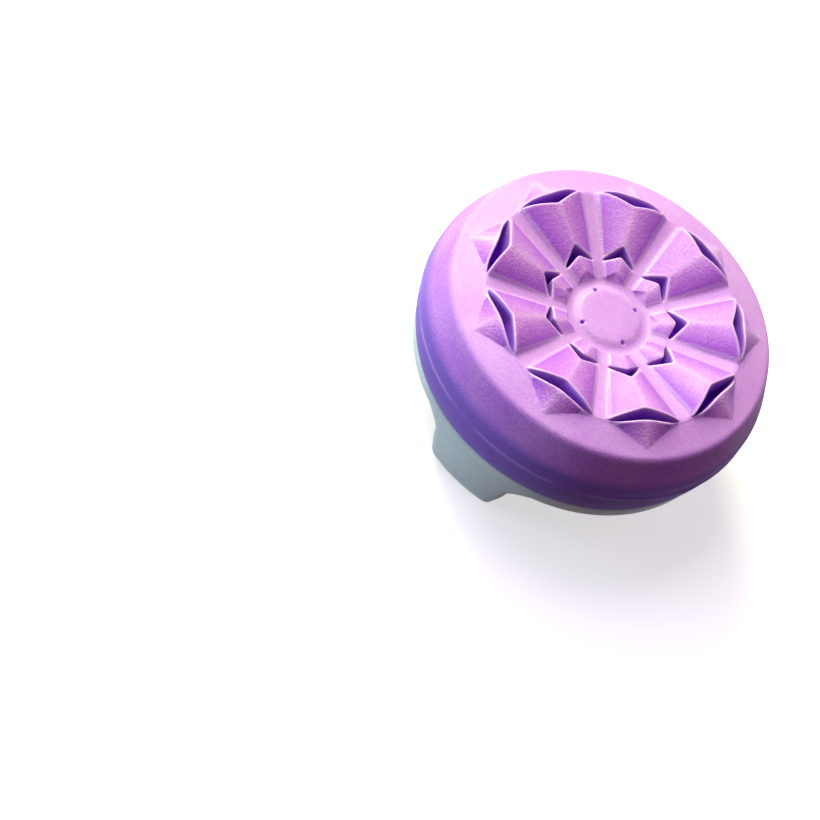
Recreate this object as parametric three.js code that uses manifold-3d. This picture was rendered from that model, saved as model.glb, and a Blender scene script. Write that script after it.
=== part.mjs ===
// Controller thumb grip: a soft cap with a dished, faceted tread, moulded over a rigid
// base whose three spring legs clip round the head of a thumb stick.
// Millimetres, +Z up. z = 0 is the plane of the three feet and the Z axis is the stick's
// axis. The first leg points along -Y.
import * as THREE from 'three';
import { ConvexGeometry } from 'three/addons/geometries/ConvexGeometry.js';
import { mergeVertices } from 'three/addons/utils/BufferGeometryUtils.js';
import Module from 'manifold-3d';

// Overall heights above the feet
const rimHeight = 11.2;
const capEdgeHeight = 4.6;
const seatHeight = 4.3;

// Outline of the cap
const capRadius = 11.5;
const edgeInset = 0.85;
const widestHeight = 7.75;
const shoulderInset = 1.5;
const shoulderFall = 0.35;
const shoulderAngle = 75;
const beadHeight = 7.2;
const beadWidth = 0.36;
const beadDepth = 0.09;

// Tread: a shallow dish, whose flat bands run in between the raised facets.
// treadTurn is the angle from +X to the first petal.
const treadRadius = 8.6;
const treadTurn = 1.3;
const dishDepth = 1.05;
const sectors = 9;
const bandWidthOuter = 1.24;
const bandWidthInner = 0.77;
const slitDepth = 0.9;
const rootDepth = 0.4;
const slitOverlap = 0.25;

// Petals: roofs with a radial ridge, notched at both ends
const petalOuterRadius = 8.52;
const petalInnerRadius = 4.15;
const petalOuterLift = 0.12;
const petalInnerLift = 0.06;
const petalRidgeOuter = 7.64;
const petalRidgeInner = 5.0;
const petalRidgeOuterRise = 0.71;
const petalRidgeInnerRise = -0.06;

// Darts: the kites outside the outer slits. dartInset is from the widest circle to the apex.
const dartInset = 1.43;
const dartInnerRadius = 8.43;
const dartInnerRise = 0.63;
const dartTipRadius = 8.58;
const dartTipAngle = 14.24;

// Gems: the small five-sided facets round the button
const gemApexRadius = 4.28;
const gemApexRise = -0.55;
const gemSideRadius = 3.93;
const gemSideAngle = 14.0;
const gemSideLift = 0.07;
const gemRidgeInner = 3.3;
const gemRidgeRise = -0.76;
const gemInnerRadius = 2.76;
const gemInnerAngle = 11.9;

// Button in the middle, with four small pits on its bevel
const buttonRadius = 1.9;
const buttonBevel = 0.56;
const buttonDrop = 0.97;
const moatDrop = 1.2;
const pitCount = 4;
const pitCircle = 2.0;
const pitRadius = 0.16;
const pitDepth = 0.35;
const pitTurn = 64.5;

// Rigid base. flangeReach is how far its edge stands out past the cap's lower edge.
const flangeReach = 0.1;
const flangeThickness = 0.9;
const flangeChamfer = 0.25;
const coreRadius = 8.9;
const coreHeight = 7.2;
const bondGap = 0.3;
const socketRadius = 8.75;
const reliefDepth = 0.5;
const hubRadius = 2.6;
const landWidth = 1.6;
const spokeWidth = 2.4;

// Spring legs, with a hook inside each foot
const legCount = 3;
const legThickness = 1.35;
const legTopInset = 0.15;
const legFootHalfWidth = 2.5;
const legTopHalfWidth = 3.05;
const legFillet = 1.6;
const footCorner = 0.8;
const footRound = 0.5;
const footWidth = 0.55;
const hookReach = 0.5;
const hookLead = 0.8;
const hookLand = 0.3;
const hookSlope = 0.45;

// Fineness of the round shapes
const roundSteps = 72;
const wallSteps = 6;
const dishSteps = 5;
const arcSteps = 5;
const pitSteps = 8;

const pitch = 360 / sectors;
const capEdgeRadius = capRadius - edgeInset;
const dartApexRadius = capRadius - dartInset;
const flangeRadius = capEdgeRadius + flangeReach;
const beadBottom = beadHeight - beadWidth / 2;
const beadTop = beadHeight + beadWidth / 2;
const flangeBottom = capEdgeHeight - flangeThickness;
const legOuterRadius = socketRadius + legThickness;
const roofHeight = coreHeight + bondGap;
const slitFloorOuter = rimHeight - slitDepth;

const wasm = await Module();
wasm.setup();

function radians(degrees) {
  return THREE.MathUtils.degToRad(degrees);
}

function polar(radius, degrees, height) {
  const angle = radians(degrees);
  return new THREE.Vector3(radius * Math.cos(angle), radius * Math.sin(angle), height);
}

function dishHeight(radius) {
  const share = radius / treadRadius;
  return rimHeight - dishDepth * (1 - share * share);
}

// Half angle of a raised facet whose neighbour lies one band away at this radius
function facetAngle(radius, bandWidth) {
  const halfBand = THREE.MathUtils.radToDeg(Math.asin(bandWidth / 2 / radius));
  return pitch / 2 - halfBand;
}

function toSolid(geometry) {
  const bare = geometry.clone();
  bare.deleteAttribute('normal');
  bare.deleteAttribute('uv');
  const merged = mergeVertices(bare, 1e-5);
  const vertProperties = new Float32Array(merged.attributes.position.array);
  const triVerts = new Uint32Array(merged.index.array);
  return new wasm.Manifold(new wasm.Mesh({ numProp: 3, vertProperties, triVerts }));
}

function toGeometry(solid) {
  const mesh = solid.getMesh();
  const geometry = new THREE.BufferGeometry();
  geometry.setAttribute('position', new THREE.BufferAttribute(mesh.vertProperties, 3));
  geometry.setIndex(new THREE.BufferAttribute(mesh.triVerts, 1));
  return geometry;
}

function addAll(solid, pieces) {
  return pieces.reduce((sum, piece) => sum.add(piece), solid);
}

function subtractAll(solid, pieces) {
  return pieces.reduce((rest, piece) => rest.subtract(piece), solid);
}

// A lathe turns about Y, so its axis is laid along Z afterwards
function turned(profile) {
  const geometry = new THREE.LatheGeometry(profile, roundSteps);
  geometry.rotateX(Math.PI / 2);
  return toSolid(geometry);
}

function hull(points) {
  return toSolid(new ConvexGeometry(points));
}

// A convex facet with a root that goes down into the cap
function rooted(points, rootHeight) {
  const roots = points.map((point) => new THREE.Vector3(point.x, point.y, rootHeight));
  return hull([...points, ...roots]);
}

function ellipsePoints(centre, radii, from, to, steps) {
  const curve = new THREE.EllipseCurve(
    centre.x, centre.y, radii.x, radii.y, radians(from), radians(to), to < from,
  );
  return curve.getPoints(steps);
}

// Radius of the cap's lower wall at a height
function lowerWallRadius(height) {
  const share = (widestHeight - height) / (widestHeight - capEdgeHeight);
  return capEdgeRadius + (capRadius - capEdgeRadius) * Math.sqrt(1 - share * share);
}

function capProfile() {
  const wallHeight = widestHeight - capEdgeHeight;
  const beadAngle = THREE.MathUtils.radToDeg(Math.asin((widestHeight - beadBottom) / wallHeight));
  const lowerWall = ellipsePoints(
    new THREE.Vector2(capEdgeRadius, widestHeight),
    new THREE.Vector2(capRadius - capEdgeRadius, wallHeight),
    -90, -beadAngle, wallSteps,
  );
  const bead = [
    new THREE.Vector2(lowerWallRadius(beadHeight) + beadDepth, beadHeight - beadWidth / 4),
    new THREE.Vector2(lowerWallRadius(beadHeight) + beadDepth, beadHeight + beadWidth / 4),
    new THREE.Vector2(lowerWallRadius(beadTop), beadTop),
  ];
  const upperWall = ellipsePoints(
    new THREE.Vector2(capRadius - shoulderInset, widestHeight),
    new THREE.Vector2(shoulderInset, rimHeight - shoulderFall - widestHeight),
    0, shoulderAngle, wallSteps,
  );
  const dish = [];
  const moatRadius = buttonRadius + buttonBevel;
  for (let step = 0; step < dishSteps; step += 1) {
    const radius = THREE.MathUtils.lerp(treadRadius, gemInnerRadius, step / (dishSteps - 1));
    dish.push(new THREE.Vector2(radius, dishHeight(radius)));
  }
  return [
    new THREE.Vector2(0, roofHeight),
    new THREE.Vector2(coreRadius + bondGap, roofHeight),
    new THREE.Vector2(coreRadius + bondGap, capEdgeHeight),
    ...lowerWall,
    ...bead,
    ...upperWall,
    ...dish,
    new THREE.Vector2(moatRadius, rimHeight - moatDrop),
    new THREE.Vector2(buttonRadius, rimHeight - buttonDrop),
    new THREE.Vector2(0, rimHeight - buttonDrop),
  ];
}

// The prism that opens a slit: a kite in plan, whose ends lie under the two facets
function slitPrism(turn, tipRadius, tipAngle, innerRadius, outerRadius, floor) {
  const plan = [
    polar(tipRadius, turn - tipAngle, 0),
    polar(outerRadius, turn, 0),
    polar(tipRadius, turn + tipAngle, 0),
    polar(innerRadius, turn, 0),
  ];
  const shape = new THREE.Shape(plan.map((point) => new THREE.Vector2(point.x, point.y)));
  const depth = rimHeight + slitDepth - floor;
  const geometry = new THREE.ExtrudeGeometry(shape, { depth, bevelEnabled: false });
  geometry.translate(0, 0, floor);
  return toSolid(geometry);
}

function slitFloorInner() {
  return dishHeight(petalInnerRadius) - slitDepth;
}

function outerSlit(turn) {
  return slitPrism(
    turn, dartTipRadius, dartTipAngle,
    petalRidgeOuter - slitOverlap, dartInnerRadius + slitOverlap, slitFloorOuter,
  );
}

function innerSlit(turn) {
  const tipRadius = (petalInnerRadius + gemSideRadius) / 2;
  const tipAngle = (facetAngle(petalInnerRadius, bandWidthInner) + gemSideAngle) / 2;
  return slitPrism(
    turn, tipRadius, tipAngle,
    gemApexRadius - slitOverlap, petalRidgeInner + slitOverlap, slitFloorInner(),
  );
}

function halfPetal(turn, side) {
  const outerAngle = turn + side * facetAngle(petalOuterRadius, bandWidthOuter);
  const innerAngle = turn + side * facetAngle(petalInnerRadius, bandWidthInner);
  const top = [
    polar(petalOuterRadius, outerAngle, dishHeight(petalOuterRadius) + petalOuterLift),
    polar(petalRidgeOuter, turn, rimHeight + petalRidgeOuterRise),
    polar(petalRidgeInner, turn, rimHeight + petalRidgeInnerRise),
    polar(petalInnerRadius, innerAngle, dishHeight(petalInnerRadius) + petalInnerLift),
  ];
  return rooted(top, slitFloorInner() - rootDepth);
}

function dartApexHeight() {
  const wall = ellipsePoints(
    new THREE.Vector2(capRadius - shoulderInset, widestHeight),
    new THREE.Vector2(shoulderInset, rimHeight - shoulderFall - widestHeight),
    shoulderAngle, shoulderAngle, 1,
  );
  const shoulder = wall[0];
  const share = (dartApexRadius - treadRadius) / (shoulder.x - treadRadius);
  return THREE.MathUtils.lerp(rimHeight, shoulder.y, share);
}

function halfDart(turn, side) {
  const top = [
    polar(dartApexRadius, turn, dartApexHeight()),
    polar(dartInnerRadius, turn, rimHeight + dartInnerRise),
    polar(dartTipRadius, turn + side * dartTipAngle, rimHeight),
  ];
  return rooted(top, slitFloorOuter - rootDepth);
}

function gem(turn) {
  const innerHeight = dishHeight(gemInnerRadius);
  const sideHeight = dishHeight(gemSideRadius) + gemSideLift;
  const top = [
    polar(gemApexRadius, turn, rimHeight + gemApexRise),
    polar(gemRidgeInner, turn, rimHeight + gemRidgeRise),
    polar(gemSideRadius, turn - gemSideAngle, sideHeight),
    polar(gemSideRadius, turn + gemSideAngle, sideHeight),
    polar(gemInnerRadius, turn - gemInnerAngle, innerHeight),
    polar(gemInnerRadius, turn + gemInnerAngle, innerHeight),
  ];
  return rooted(top, slitFloorInner() - rootDepth);
}

function buttonPit(index) {
  const turn = treadTurn + pitTurn + index * 360 / pitCount;
  const centre = polar(pitCircle, turn, rimHeight - buttonDrop);
  const geometry = new THREE.CylinderGeometry(pitRadius, pitRadius, 2 * pitDepth, pitSteps);
  geometry.rotateX(Math.PI / 2);
  geometry.translate(centre.x, centre.y, centre.z);
  return toSolid(geometry);
}

function gripCap() {
  const slits = [];
  const facets = [];
  for (let sector = 0; sector < sectors; sector += 1) {
    const turn = treadTurn + sector * pitch;
    slits.push(outerSlit(turn), innerSlit(turn));
    facets.push(halfPetal(turn, -1), halfPetal(turn, 1));
    facets.push(halfDart(turn, -1), halfDart(turn, 1));
    facets.push(gem(turn));
  }
  const pits = [];
  for (let index = 0; index < pitCount; index += 1) {
    pits.push(buttonPit(index));
  }
  const carved = subtractAll(turned(capProfile()), slits);
  return subtractAll(addAll(carved, facets), pits);
}

function plateProfile() {
  return [
    new THREE.Vector2(0, seatHeight),
    new THREE.Vector2(socketRadius, seatHeight),
    new THREE.Vector2(socketRadius, flangeBottom),
    new THREE.Vector2(flangeRadius - flangeChamfer, flangeBottom),
    new THREE.Vector2(flangeRadius, flangeBottom + flangeChamfer),
    new THREE.Vector2(flangeRadius, capEdgeHeight),
    new THREE.Vector2(coreRadius, capEdgeHeight),
    new THREE.Vector2(coreRadius, coreHeight),
    new THREE.Vector2(0, coreHeight),
  ];
}

// Section of the ring that the legs are cut from: the hook is inside, at the foot
function legProfile() {
  const hookRadius = socketRadius - hookReach;
  const outerFoot = legOuterRadius - footRound;
  const footArc = ellipsePoints(
    new THREE.Vector2(outerFoot, footRound), new THREE.Vector2(footRound, footRound),
    -90, 0, arcSteps,
  );
  const neck = flangeBottom + flangeChamfer;
  return [
    new THREE.Vector2(socketRadius, neck),
    new THREE.Vector2(socketRadius, hookLead + hookLand + hookSlope),
    new THREE.Vector2(hookRadius, hookLead + hookLand),
    new THREE.Vector2(hookRadius, hookLead),
    new THREE.Vector2(outerFoot - footWidth, 0),
    ...footArc,
    new THREE.Vector2(flangeRadius - legTopInset, flangeBottom),
    new THREE.Vector2(flangeRadius - legTopInset, neck),
    new THREE.Vector2(socketRadius, neck),
  ];
}

// Front view of one leg: rounded corners at the foot, sides that flare into the flange
function legOutline() {
  const top = flangeBottom + flangeChamfer / 2;
  const filletStart = flangeBottom - legFillet;
  const side = legTopHalfWidth;
  const reach = side + legFillet;
  const shape = new THREE.Shape();
  shape.moveTo(-legFootHalfWidth + footCorner, 0);
  shape.lineTo(legFootHalfWidth - footCorner, 0);
  shape.quadraticCurveTo(legFootHalfWidth, 0, legFootHalfWidth, footCorner);
  shape.lineTo(side, filletStart);
  shape.quadraticCurveTo(side, flangeBottom, reach, flangeBottom);
  shape.lineTo(reach, top);
  shape.lineTo(-reach, top);
  shape.lineTo(-reach, flangeBottom);
  shape.quadraticCurveTo(-side, flangeBottom, -side, filletStart);
  shape.lineTo(-legFootHalfWidth, footCorner);
  shape.quadraticCurveTo(-legFootHalfWidth, 0, -legFootHalfWidth + footCorner, 0);
  return shape;
}

function legCutter(index) {
  const settings = { depth: flangeRadius, bevelEnabled: false, curveSegments: arcSteps };
  const geometry = new THREE.ExtrudeGeometry(legOutline(), settings);
  geometry.rotateX(Math.PI / 2);
  geometry.rotateZ(radians(index * 360 / legCount));
  return toSolid(geometry);
}

// Shallow relief under the plate: a land round the edge, a hub and one spoke to each leg
function plateRelief() {
  const reliefRadius = socketRadius - landWidth;
  const ring = turned([
    new THREE.Vector2(hubRadius, seatHeight - reliefDepth),
    new THREE.Vector2(reliefRadius, seatHeight - reliefDepth),
    new THREE.Vector2(reliefRadius, seatHeight + reliefDepth),
    new THREE.Vector2(hubRadius, seatHeight + reliefDepth),
    new THREE.Vector2(hubRadius, seatHeight - reliefDepth),
  ]);
  const spokes = [];
  for (let index = 0; index < legCount; index += 1) {
    const spoke = new THREE.BoxGeometry(spokeWidth, socketRadius, 4 * reliefDepth);
    spoke.translate(0, -socketRadius / 2, seatHeight);
    spoke.rotateZ(radians(index * 360 / legCount));
    spokes.push(toSolid(spoke));
  }
  return subtractAll(ring, spokes);
}

function clipBase() {
  const plate = turned(plateProfile()).subtract(plateRelief());
  const legRing = turned(legProfile());
  const legs = [];
  for (let index = 0; index < legCount; index += 1) {
    legs.push(legRing.intersect(legCutter(index)));
  }
  return addAll(plate, legs);
}

const capMaterial = new THREE.MeshStandardMaterial({ color: 0xc88be0, roughness: 0.62, metalness: 0 });
const baseMaterial = new THREE.MeshStandardMaterial({ color: 0x9aa9a8, roughness: 0.4, metalness: 0 });

function namedMesh(name, solid, material) {
  const mesh = new THREE.Mesh(toGeometry(solid), material);
  mesh.name = name;
  return mesh;
}

const grip = new THREE.Group();
grip.add(namedMesh('grip_cap', gripCap(), capMaterial));
grip.add(namedMesh('clip_base', clipBase(), baseMaterial));

export default grip;
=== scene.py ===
import math

import bmesh
import bpy
from bpy.props import FloatProperty, FloatVectorProperty, IntProperty, PointerProperty
from mathutils import Matrix, Vector


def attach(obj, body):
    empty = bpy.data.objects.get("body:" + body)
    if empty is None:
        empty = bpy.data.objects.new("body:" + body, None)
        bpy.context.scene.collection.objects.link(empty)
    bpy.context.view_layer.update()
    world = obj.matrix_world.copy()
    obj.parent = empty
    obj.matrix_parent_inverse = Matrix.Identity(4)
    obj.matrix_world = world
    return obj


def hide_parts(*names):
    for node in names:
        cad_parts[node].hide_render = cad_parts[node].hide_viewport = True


bl_info = {
    "name": "Controller thumb grip",
    "version": (1, 0, 0),
    "blender": (4, 5, 0),
    "location": "3D View > Sidebar > Thumb grip",
    "description": "Models a soft faceted thumb grip on its rigid clip base, with its studio",
    "category": "Object",
}

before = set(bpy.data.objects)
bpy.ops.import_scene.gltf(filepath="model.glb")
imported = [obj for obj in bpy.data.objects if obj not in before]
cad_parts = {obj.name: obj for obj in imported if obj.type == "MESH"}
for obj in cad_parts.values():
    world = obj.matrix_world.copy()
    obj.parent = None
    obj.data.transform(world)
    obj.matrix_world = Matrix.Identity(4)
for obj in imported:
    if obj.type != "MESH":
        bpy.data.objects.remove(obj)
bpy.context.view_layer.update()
MM = 0.001
WELD = 2e-6
STILL = 1e-9
PHOTO_SIDE = 820
SENSOR = 36.0
PITS = 4
PIT_DROP = 1.02
PLATE_STEPS = 160
RELIEF_STEPS = 96
SMOOTH_DEGREES = 32.0
LAMP_DISTANCE = 0.42
LAMP_TARGET = 8.0


def length(name, description, millimetres):
    """A size property, kept in metres and shown as a length."""
    return FloatProperty(
        name=name, description=description, default=millimetres * MM,
        min=0.0, unit="LENGTH", precision=5,
    )


def angle(name, description, degrees):
    """An angle property, kept in radians and shown in degrees."""
    return FloatProperty(
        name=name, description=description, default=math.radians(degrees), subtype="ANGLE",
    )


def colour(name, description, value):
    """A linear colour property."""
    return FloatVectorProperty(
        name=name, description=description, default=value,
        size=3, min=0.0, max=1.0, subtype="COLOR",
    )


def share(name, description, value):
    """A plain number between nothing and all."""
    return FloatProperty(
        name=name, description=description, default=value, min=0.0, max=1.0, subtype="FACTOR",
    )


class CapSizes(bpy.types.PropertyGroup):
    """Sizes of the soft cap and its tread."""

    rim_height: length("Rim height", "Height of the tread's rim line above the feet", 11.2)
    tread_radius: length("Tread radius", "Radius of the circle where dish and rim meet", 8.6)
    dish_depth: length("Dish depth", "How far the dish lies below the rim in its middle", 1.05)
    rim_fall: FloatProperty(
        name="Rim fall", description="Slope of the rim outside the tread", default=0.255,
    )
    slit_depth: length("Slit depth", "Depth of the slits below the surface", 0.95)
    edge_round: length("Edge rounding", "Distance from an edge to its support line", 0.1)
    ridge_round: length("Ridge rounding", "Half the width over which a ridge is rounded", 0.32)
    tread_turn: angle("Tread turn", "Angle from +X to the first petal", 1.3)
    pit_turn: angle("Pit turn", "Angle from the first petal to the first pit", 64.5)
    pit_circle: length("Pit circle", "Radius of the circle that the four pits lie on", 2.0)
    pit_depth: length("Pit depth", "Depth of a pit", 0.2)
    pit_reach: length("Pit reach", "Radius over which a pit sinks the surface", 0.19)
    sectors: IntProperty(name="Sectors", description="Petals round the tread", default=9, min=3)


class BaseSizes(bpy.types.PropertyGroup):
    """Sizes of the rigid base and its legs."""

    seat_height: length("Seat height", "Height of the socket's ceiling", 4.3)
    flange_top: length("Flange top", "Height where the cap rests on the flange", 4.6)
    flange_bottom: length("Flange bottom", "Height of the flange's lower face", 3.7)
    flange_radius: length("Flange radius", "Outer radius of the flange", 10.75)
    socket_radius: length("Socket radius", "Inner radius of the legs", 8.75)
    core_radius: length("Core radius", "Radius of the core inside the cap", 8.9)
    core_height: length("Core height", "Height of the core's top", 7.2)
    relief_depth: length("Relief depth", "Depth of the pocket in the socket's ceiling", 0.5)
    edge_round: length("Edge rounding", "Width of the rounded edges", 0.14)
    legs: IntProperty(name="Legs", description="Spring legs round the base", default=3, min=2)


class Finishes(bpy.types.PropertyGroup):
    """Colours and surface values of the two mouldings; several cap colours paint shade and
    highlights.
    """

    cap_colour: colour("Cap colour", "Colour of the soft cap", (0.58, 0.29, 0.63))
    # Darker mottling of the grain, also used as painted shade towards the facets' side edges.
    cap_mottle_and_shade: colour("Cap shade", "Darker mottling of the soft cap", (0.46, 0.15, 0.58))
    # Painted shade: the facets darken towards their side edges, towards this colour.
    cap_foot_shade: colour("Cap foot", "Deeper colour at the foot of the facets", (0.24, 0.03, 0.48))
    # Partly the smooth faces' own paler finish, partly painted light: the smooth tread and rim on
    # top are paler than the facets and the wall.
    cap_smooth_and_lit: colour("Smooth cap", "Paler colour of the smooth faces", (0.54, 0.34, 0.64))
    # Painted shade: the lower part of the wall coloured darker and bluer, as it lies in shade.
    cap_wall_shade: colour("Cap wall", "Bluer colour of the wall's lower part", (0.2, 0.11, 0.5))
    # Painted highlights: light lines on lips, ridges, creases, the bead and the button's edge, and
    # light specks on the facets.
    cap_highlight: colour("Cap bloom", "Paler colour on edges and glinting places", (0.66, 0.47, 0.68))
    # Painted shade: the slits and pits are coloured darker and deeper, where they lie in shadow.
    cap_slit_shade: colour("Cap deep", "Deeper colour inside the slits", (0.17, 0.01, 0.52))
    base_colour: colour("Base colour", "Colour of the rigid base", (0.56, 0.62, 0.57))
    base_deep: colour("Base deep", "Darker mottling of the base", (0.46, 0.52, 0.50))
    cap_gloss: share("Cap roughness", "Roughness of the soft cap", 0.45)
    base_gloss: share("Base roughness", "Roughness of the rigid base", 0.34)


class Studio(bpy.types.PropertyGroup):
    """Camera, lamps and floor."""

    turn: angle("Camera turn", "Angle of the camera round the grip, from +X", -80.25)
    climb: angle("Camera climb", "Angle of the camera above the horizon", 48.79)
    roll: angle("Camera roll", "Roll of the camera about its own axis", -36.03)
    distance: length("Camera distance", "From the middle of the tread to the camera", 237.95)
    lens: FloatProperty(name="Lens", description="Focal length in millimetres", default=168.5)
    place: FloatVectorProperty(
        name="Place in frame", description="Pixel at which the middle of the tread shows",
        default=(615.62, 307.19), size=2,
    )
    key_power: FloatProperty(name="Key power", description="Key lamp in watts", default=2.8)
    top_power: FloatProperty(name="Top power", description="High lamp in watts", default=1.25)
    fill_power: FloatProperty(
        name="Fill power", description="Cool side lamp in watts", default=2.1,
    )
    sky: FloatProperty(name="Sky", description="Strength of the even light", default=0.31)


def sizes(name):
    """The property group of this name on the scene."""
    return getattr(bpy.context.scene, name)


def deselect():
    """Leaves edit mode and deselects everything."""
    if bpy.context.object and bpy.context.object.mode != "OBJECT":
        bpy.ops.object.mode_set(mode="OBJECT")
    bpy.ops.object.select_all(action="DESELECT")


def activate(piece):
    """Makes a piece the only selected and active object."""
    deselect()
    piece.select_set(True)
    bpy.context.view_layer.objects.active = piece


def added(name):
    """Names the object that a primitive operator has just added."""
    piece = bpy.context.object
    piece.name = name
    piece.data.name = name
    return piece


def apply_modifier(piece, kind, **settings):
    """Adds a modifier to a piece and applies it."""
    activate(piece)
    modifier = piece.modifiers.new(kind.title(), kind)
    for key, value in settings.items():
        setattr(modifier, key, value)
    bpy.ops.object.modifier_apply(modifier=modifier.name)


def move_vertex(piece, index, target):
    """Selects one vertex in edit mode and moves it to its place."""
    mesh = bmesh.from_edit_mesh(piece.data)
    mesh.verts.ensure_lookup_table()
    bpy.ops.mesh.select_all(action="DESELECT")
    vertex = mesh.verts[index]
    vertex.select = True
    mesh.select_flush_mode()
    step = target - vertex.co
    if step.length > STILL:
        bpy.ops.transform.translate(value=step)


def edit_all(piece):
    """Opens a piece in edit mode with all of it selected."""
    activate(piece)
    bpy.ops.object.mode_set(mode="EDIT")
    bpy.ops.mesh.select_all(action="SELECT")


def turn_selected(turn):
    """Turns what is selected round Z, by the angle that transform.rotate reads."""
    bpy.ops.transform.rotate(value=turn, orient_axis="Z", center_override=(0.0, 0.0, 0.0))


def select_loop(piece, first, count):
    """Selects the edges between the vertices of one loop, given its first index."""
    mesh = bmesh.from_edit_mesh(piece.data)
    mesh.verts.ensure_lookup_table()
    bpy.ops.mesh.select_all(action="DESELECT")
    chosen = {mesh.verts[first + number] for number in range(count)}
    for edge in mesh.edges:
        if set(edge.verts) <= chosen:
            edge.select = True


def close_up(piece):
    """Merges doubles and turns the faces outwards."""
    edit_all(piece)
    bpy.ops.mesh.remove_doubles(threshold=WELD)
    bpy.ops.mesh.normals_make_consistent(inside=False)
    bpy.ops.object.mode_set(mode="OBJECT")


def polar(radius, degrees, height):
    """A point from its radius and height in metres and its angle in degrees."""
    turn = math.radians(degrees)
    return Vector((radius * math.cos(turn), radius * math.sin(turn), height))


# The tread's half sector runs from a petal's ridge, column 0, to the middle of a band.
FACET_SHARES = (0.0, None, 0.35, 0.7, None, 1.0)
RIDGE_COLUMN = 0
CORNER_COLUMN = 5
LAST_COLUMN = 8
HALF_SECTOR = 20.0


class Row:
    """One line of the tread's half sector, from the ridge to the middle of the band.

    Ridge and corner are points, band is the radius in the middle of the band. Etched, slit
    and edge are masks; slit paints shade into the slits and edge paints highlights on edges.
    Floor is the height of a slit's floor and close how late it rises, bow curves the line
    sideways, soft rounds its ridge and swell raises its middle.
    """

    def __init__(self, ridge, corner, band, etched=0.0, slit=0.0, edge=0.0, floor=None, bow=0.0,
                 soft=0.0, swell=0.0, close=5.0):
        self.ridge = ridge
        self.corner = corner
        self.band = band
        self.etched = etched
        self.slit = slit
        self.edge = edge
        self.floor = floor
        self.bow = bow
        self.soft = soft
        self.swell = swell
        self.close = close


def surface_height(cap, radius):
    """Height of the dish inside the tread circle and of the rim outside it."""
    if radius < cap.tread_radius:
        ratio = radius / cap.tread_radius
        return cap.rim_height - cap.dish_depth * (1.0 - ratio * ratio)
    return cap.rim_height - cap.rim_fall * (radius - cap.tread_radius)


def corner_point(cap, radius, degrees, lift):
    """A facet's corner, lifted above the dish or rim."""
    return polar(radius * MM, degrees, surface_height(cap, radius * MM) + lift * MM)


def ridge_point(cap, radius, rise):
    """A point on a petal's centre line, measured from the rim's height."""
    return Vector((radius * MM, 0.0, cap.rim_height + rise * MM))


def button_rows(cap):
    """Round lines of the button and the groove round it: radius and drop below the rim."""
    return [
        (0.0, 0.94), (0.7, 0.94), (1.4, 0.945), (1.78, 0.96), (1.92, 0.985),
        (2.04, 1.035), (2.3, 1.14), (2.42, 1.155), (2.54, 1.15),
    ]


def gem_rows(cap):
    """Lines of the small gem next to the button."""
    inner_ridge = ridge_point(cap, 2.72, -1.11)
    crease_ridge = ridge_point(cap, 3.24, -0.66)
    apex = ridge_point(cap, 4.28, -0.36)
    inner_corner = corner_point(cap, 2.76, 11.9, -0.15)
    side_corner = corner_point(cap, 3.93, 14.0, 0.07)
    rows = [Row(ridge_point(cap, 2.63, -1.14), corner_point(cap, 2.69, 11.9, -0.18), 2.69)]
    for along, side in ((0.0, 0.0), (0.16, 0.02), (0.84, 0.045)):
        ridge = inner_ridge.lerp(crease_ridge, along)
        rows.append(Row(ridge, inner_corner.lerp(side_corner, side), 2.76 + side,
                        etched=0.8 * along))
    for along, side in ((0.0, 0.07), (0.12, 0.14), (0.55, 0.55), (0.88, 0.93)):
        ridge = crease_ridge.lerp(apex, along)
        corner = inner_corner.lerp(side_corner, side)
        rows.append(Row(ridge, corner, 2.76 + 1.17 * side, etched=0.8, soft=0.3))
    # The gem's outer end gets a painted highlight line through its edge mark.
    rows.append(Row(apex, side_corner, 3.93, etched=0.5, edge=1.0))
    return rows


def inner_slit_rows(cap):
    """Lines of the V-shaped slit between gem and petal."""
    floor = surface_height(cap, 4.15 * MM) - cap.slit_depth
    # The slit marks paint shade into the slit, deepest on its floor.
    return [
        Row(ridge_point(cap, 4.3, -0.48), corner_point(cap, 3.96, 14.1, 0.065), 3.97, slit=0.5),
        Row(ridge_point(cap, 4.38, -1.6), corner_point(cap, 4.0, 14.2, 0.06), 4.02, slit=1.0,
            floor=floor),
        Row(ridge_point(cap, 4.88, -1.6), corner_point(cap, 4.05, 14.4, 0.06), 4.08, slit=1.0,
            floor=floor),
        Row(ridge_point(cap, 4.96, -0.2), corner_point(cap, 4.1, 14.58, 0.06), 4.12, slit=0.65),
    ]


def petal_rows(cap):
    """Lines of the petal, a roof with its ridge along the radius."""
    inner_ridge = ridge_point(cap, 5.0, -0.06)
    outer_ridge = ridge_point(cap, 7.64, 0.71)
    inner_corner = corner_point(cap, 4.15, 14.68, 0.06)
    outer_corner = corner_point(cap, 8.52, 15.83, 0.12)
    rows = []
    for along in (0.0, 0.035, 0.25, 0.5, 0.75, 0.965, 1.0):
        end = along in (0.0, 1.0)
        ridge = inner_ridge.lerp(outer_ridge, along)
        corner = inner_corner.lerp(outer_corner, along)
        band = 4.15 + 4.2 * along
        bow = 0.1 * along ** 3
        # The petal's two ends get painted highlight lines through their edge marks.
        rows.append(Row(ridge, corner, band, etched=0.5 if end else 1.0, edge=float(end),
                        bow=bow, soft=0.65 * along, swell=0.03 + 0.16 * along ** 2))
    return rows


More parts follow.
